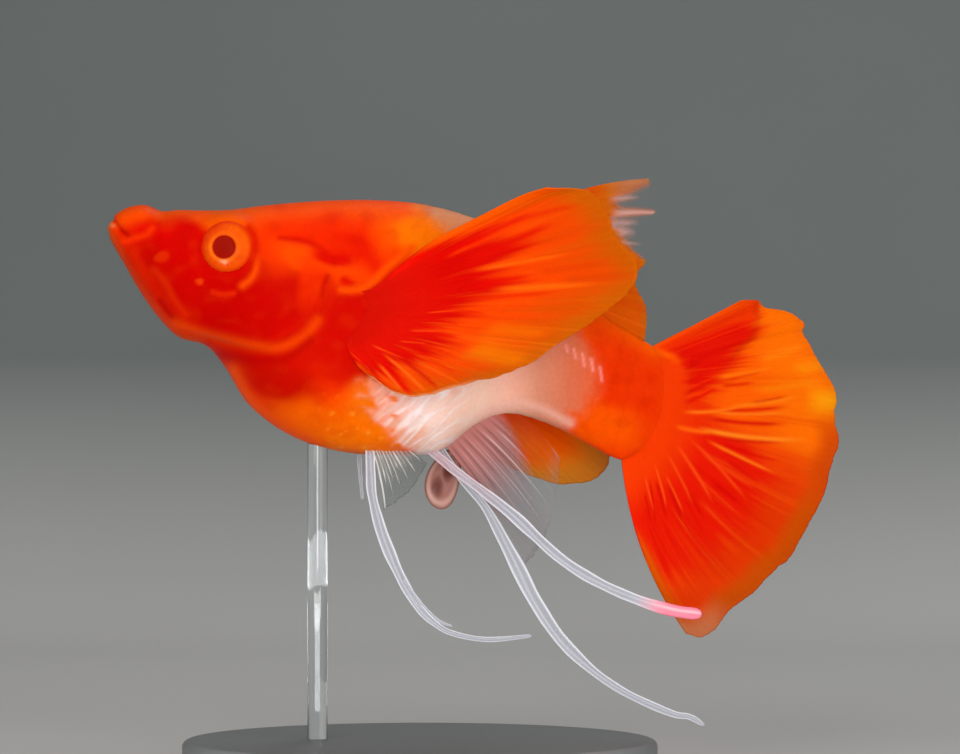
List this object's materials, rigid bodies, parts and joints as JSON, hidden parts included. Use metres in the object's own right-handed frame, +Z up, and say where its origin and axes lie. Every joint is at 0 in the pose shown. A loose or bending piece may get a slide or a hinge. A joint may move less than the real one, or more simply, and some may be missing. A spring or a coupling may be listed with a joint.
{
  "type": "guppy model on a display stand",
  "caption": "Life-size model of a fancy guppy with ear-like pectoral fins, a fan tail and long ribbon fins, held by a rod on an oval base.",
  "frame": {"origin": "centre of the stand base's underside, on the fish's middle plane", "axes": "+Z up, -X towards the snout, -Y towards the fish's left side"},
  "size_m": [0.0593, 0.0262, 0.0479],
  "materials": {
    "skin_red": "moist red skin, smooth",
    "skin_orange": "moist orange skin with fine scales and a pale belly",
    "eye": "clear over an orange iris and a dark red pupil",
    "fin_orange": "translucent red to orange membrane with fine rays",
    "fin_clear": "nearly clear membrane with pale rays",
    "ray_white": "translucent white ribbon",
    "flesh_pink": "moist pink flesh",
    "stand_base": "satin black",
    "stand_rod": "polished clear"
  },
  "bodies": {
    "root": {"head": "skin_red", "jaw_lower": "skin_red", "gill_cover_left": "skin_red", "gill_cover_right": "skin_red", "eye_left": "eye", "eye_right": "eye", "trunk": "skin_orange", "tail_stalk": "skin_orange", "fin_pectoral_left": "fin_orange", "fin_pectoral_right": "fin_orange", "fin_dorsal": "fin_orange", "fin_caudal": "fin_orange", "fin_anal": "fin_clear", "fin_pelvic_left": "fin_clear", "fin_pelvic_right": "fin_clear", "streamer_pelvic_left_1": "ray_white", "streamer_pelvic_left_2": "ray_white", "streamer_pelvic_left_3": "ray_white", "streamer_pelvic_right": "ray_white", "streamer_anal_front_1": "ray_white", "streamer_anal_front_2": "ray_white", "streamer_anal_rear_1": "ray_white", "streamer_anal_rear_2": "ray_white", "streamer_anal_rear_3": "ray_white", "vent_papilla": "flesh_pink", "stand_base": "stand_base", "stand_rod": "stand_rod"}
  },
  "joints": []
}
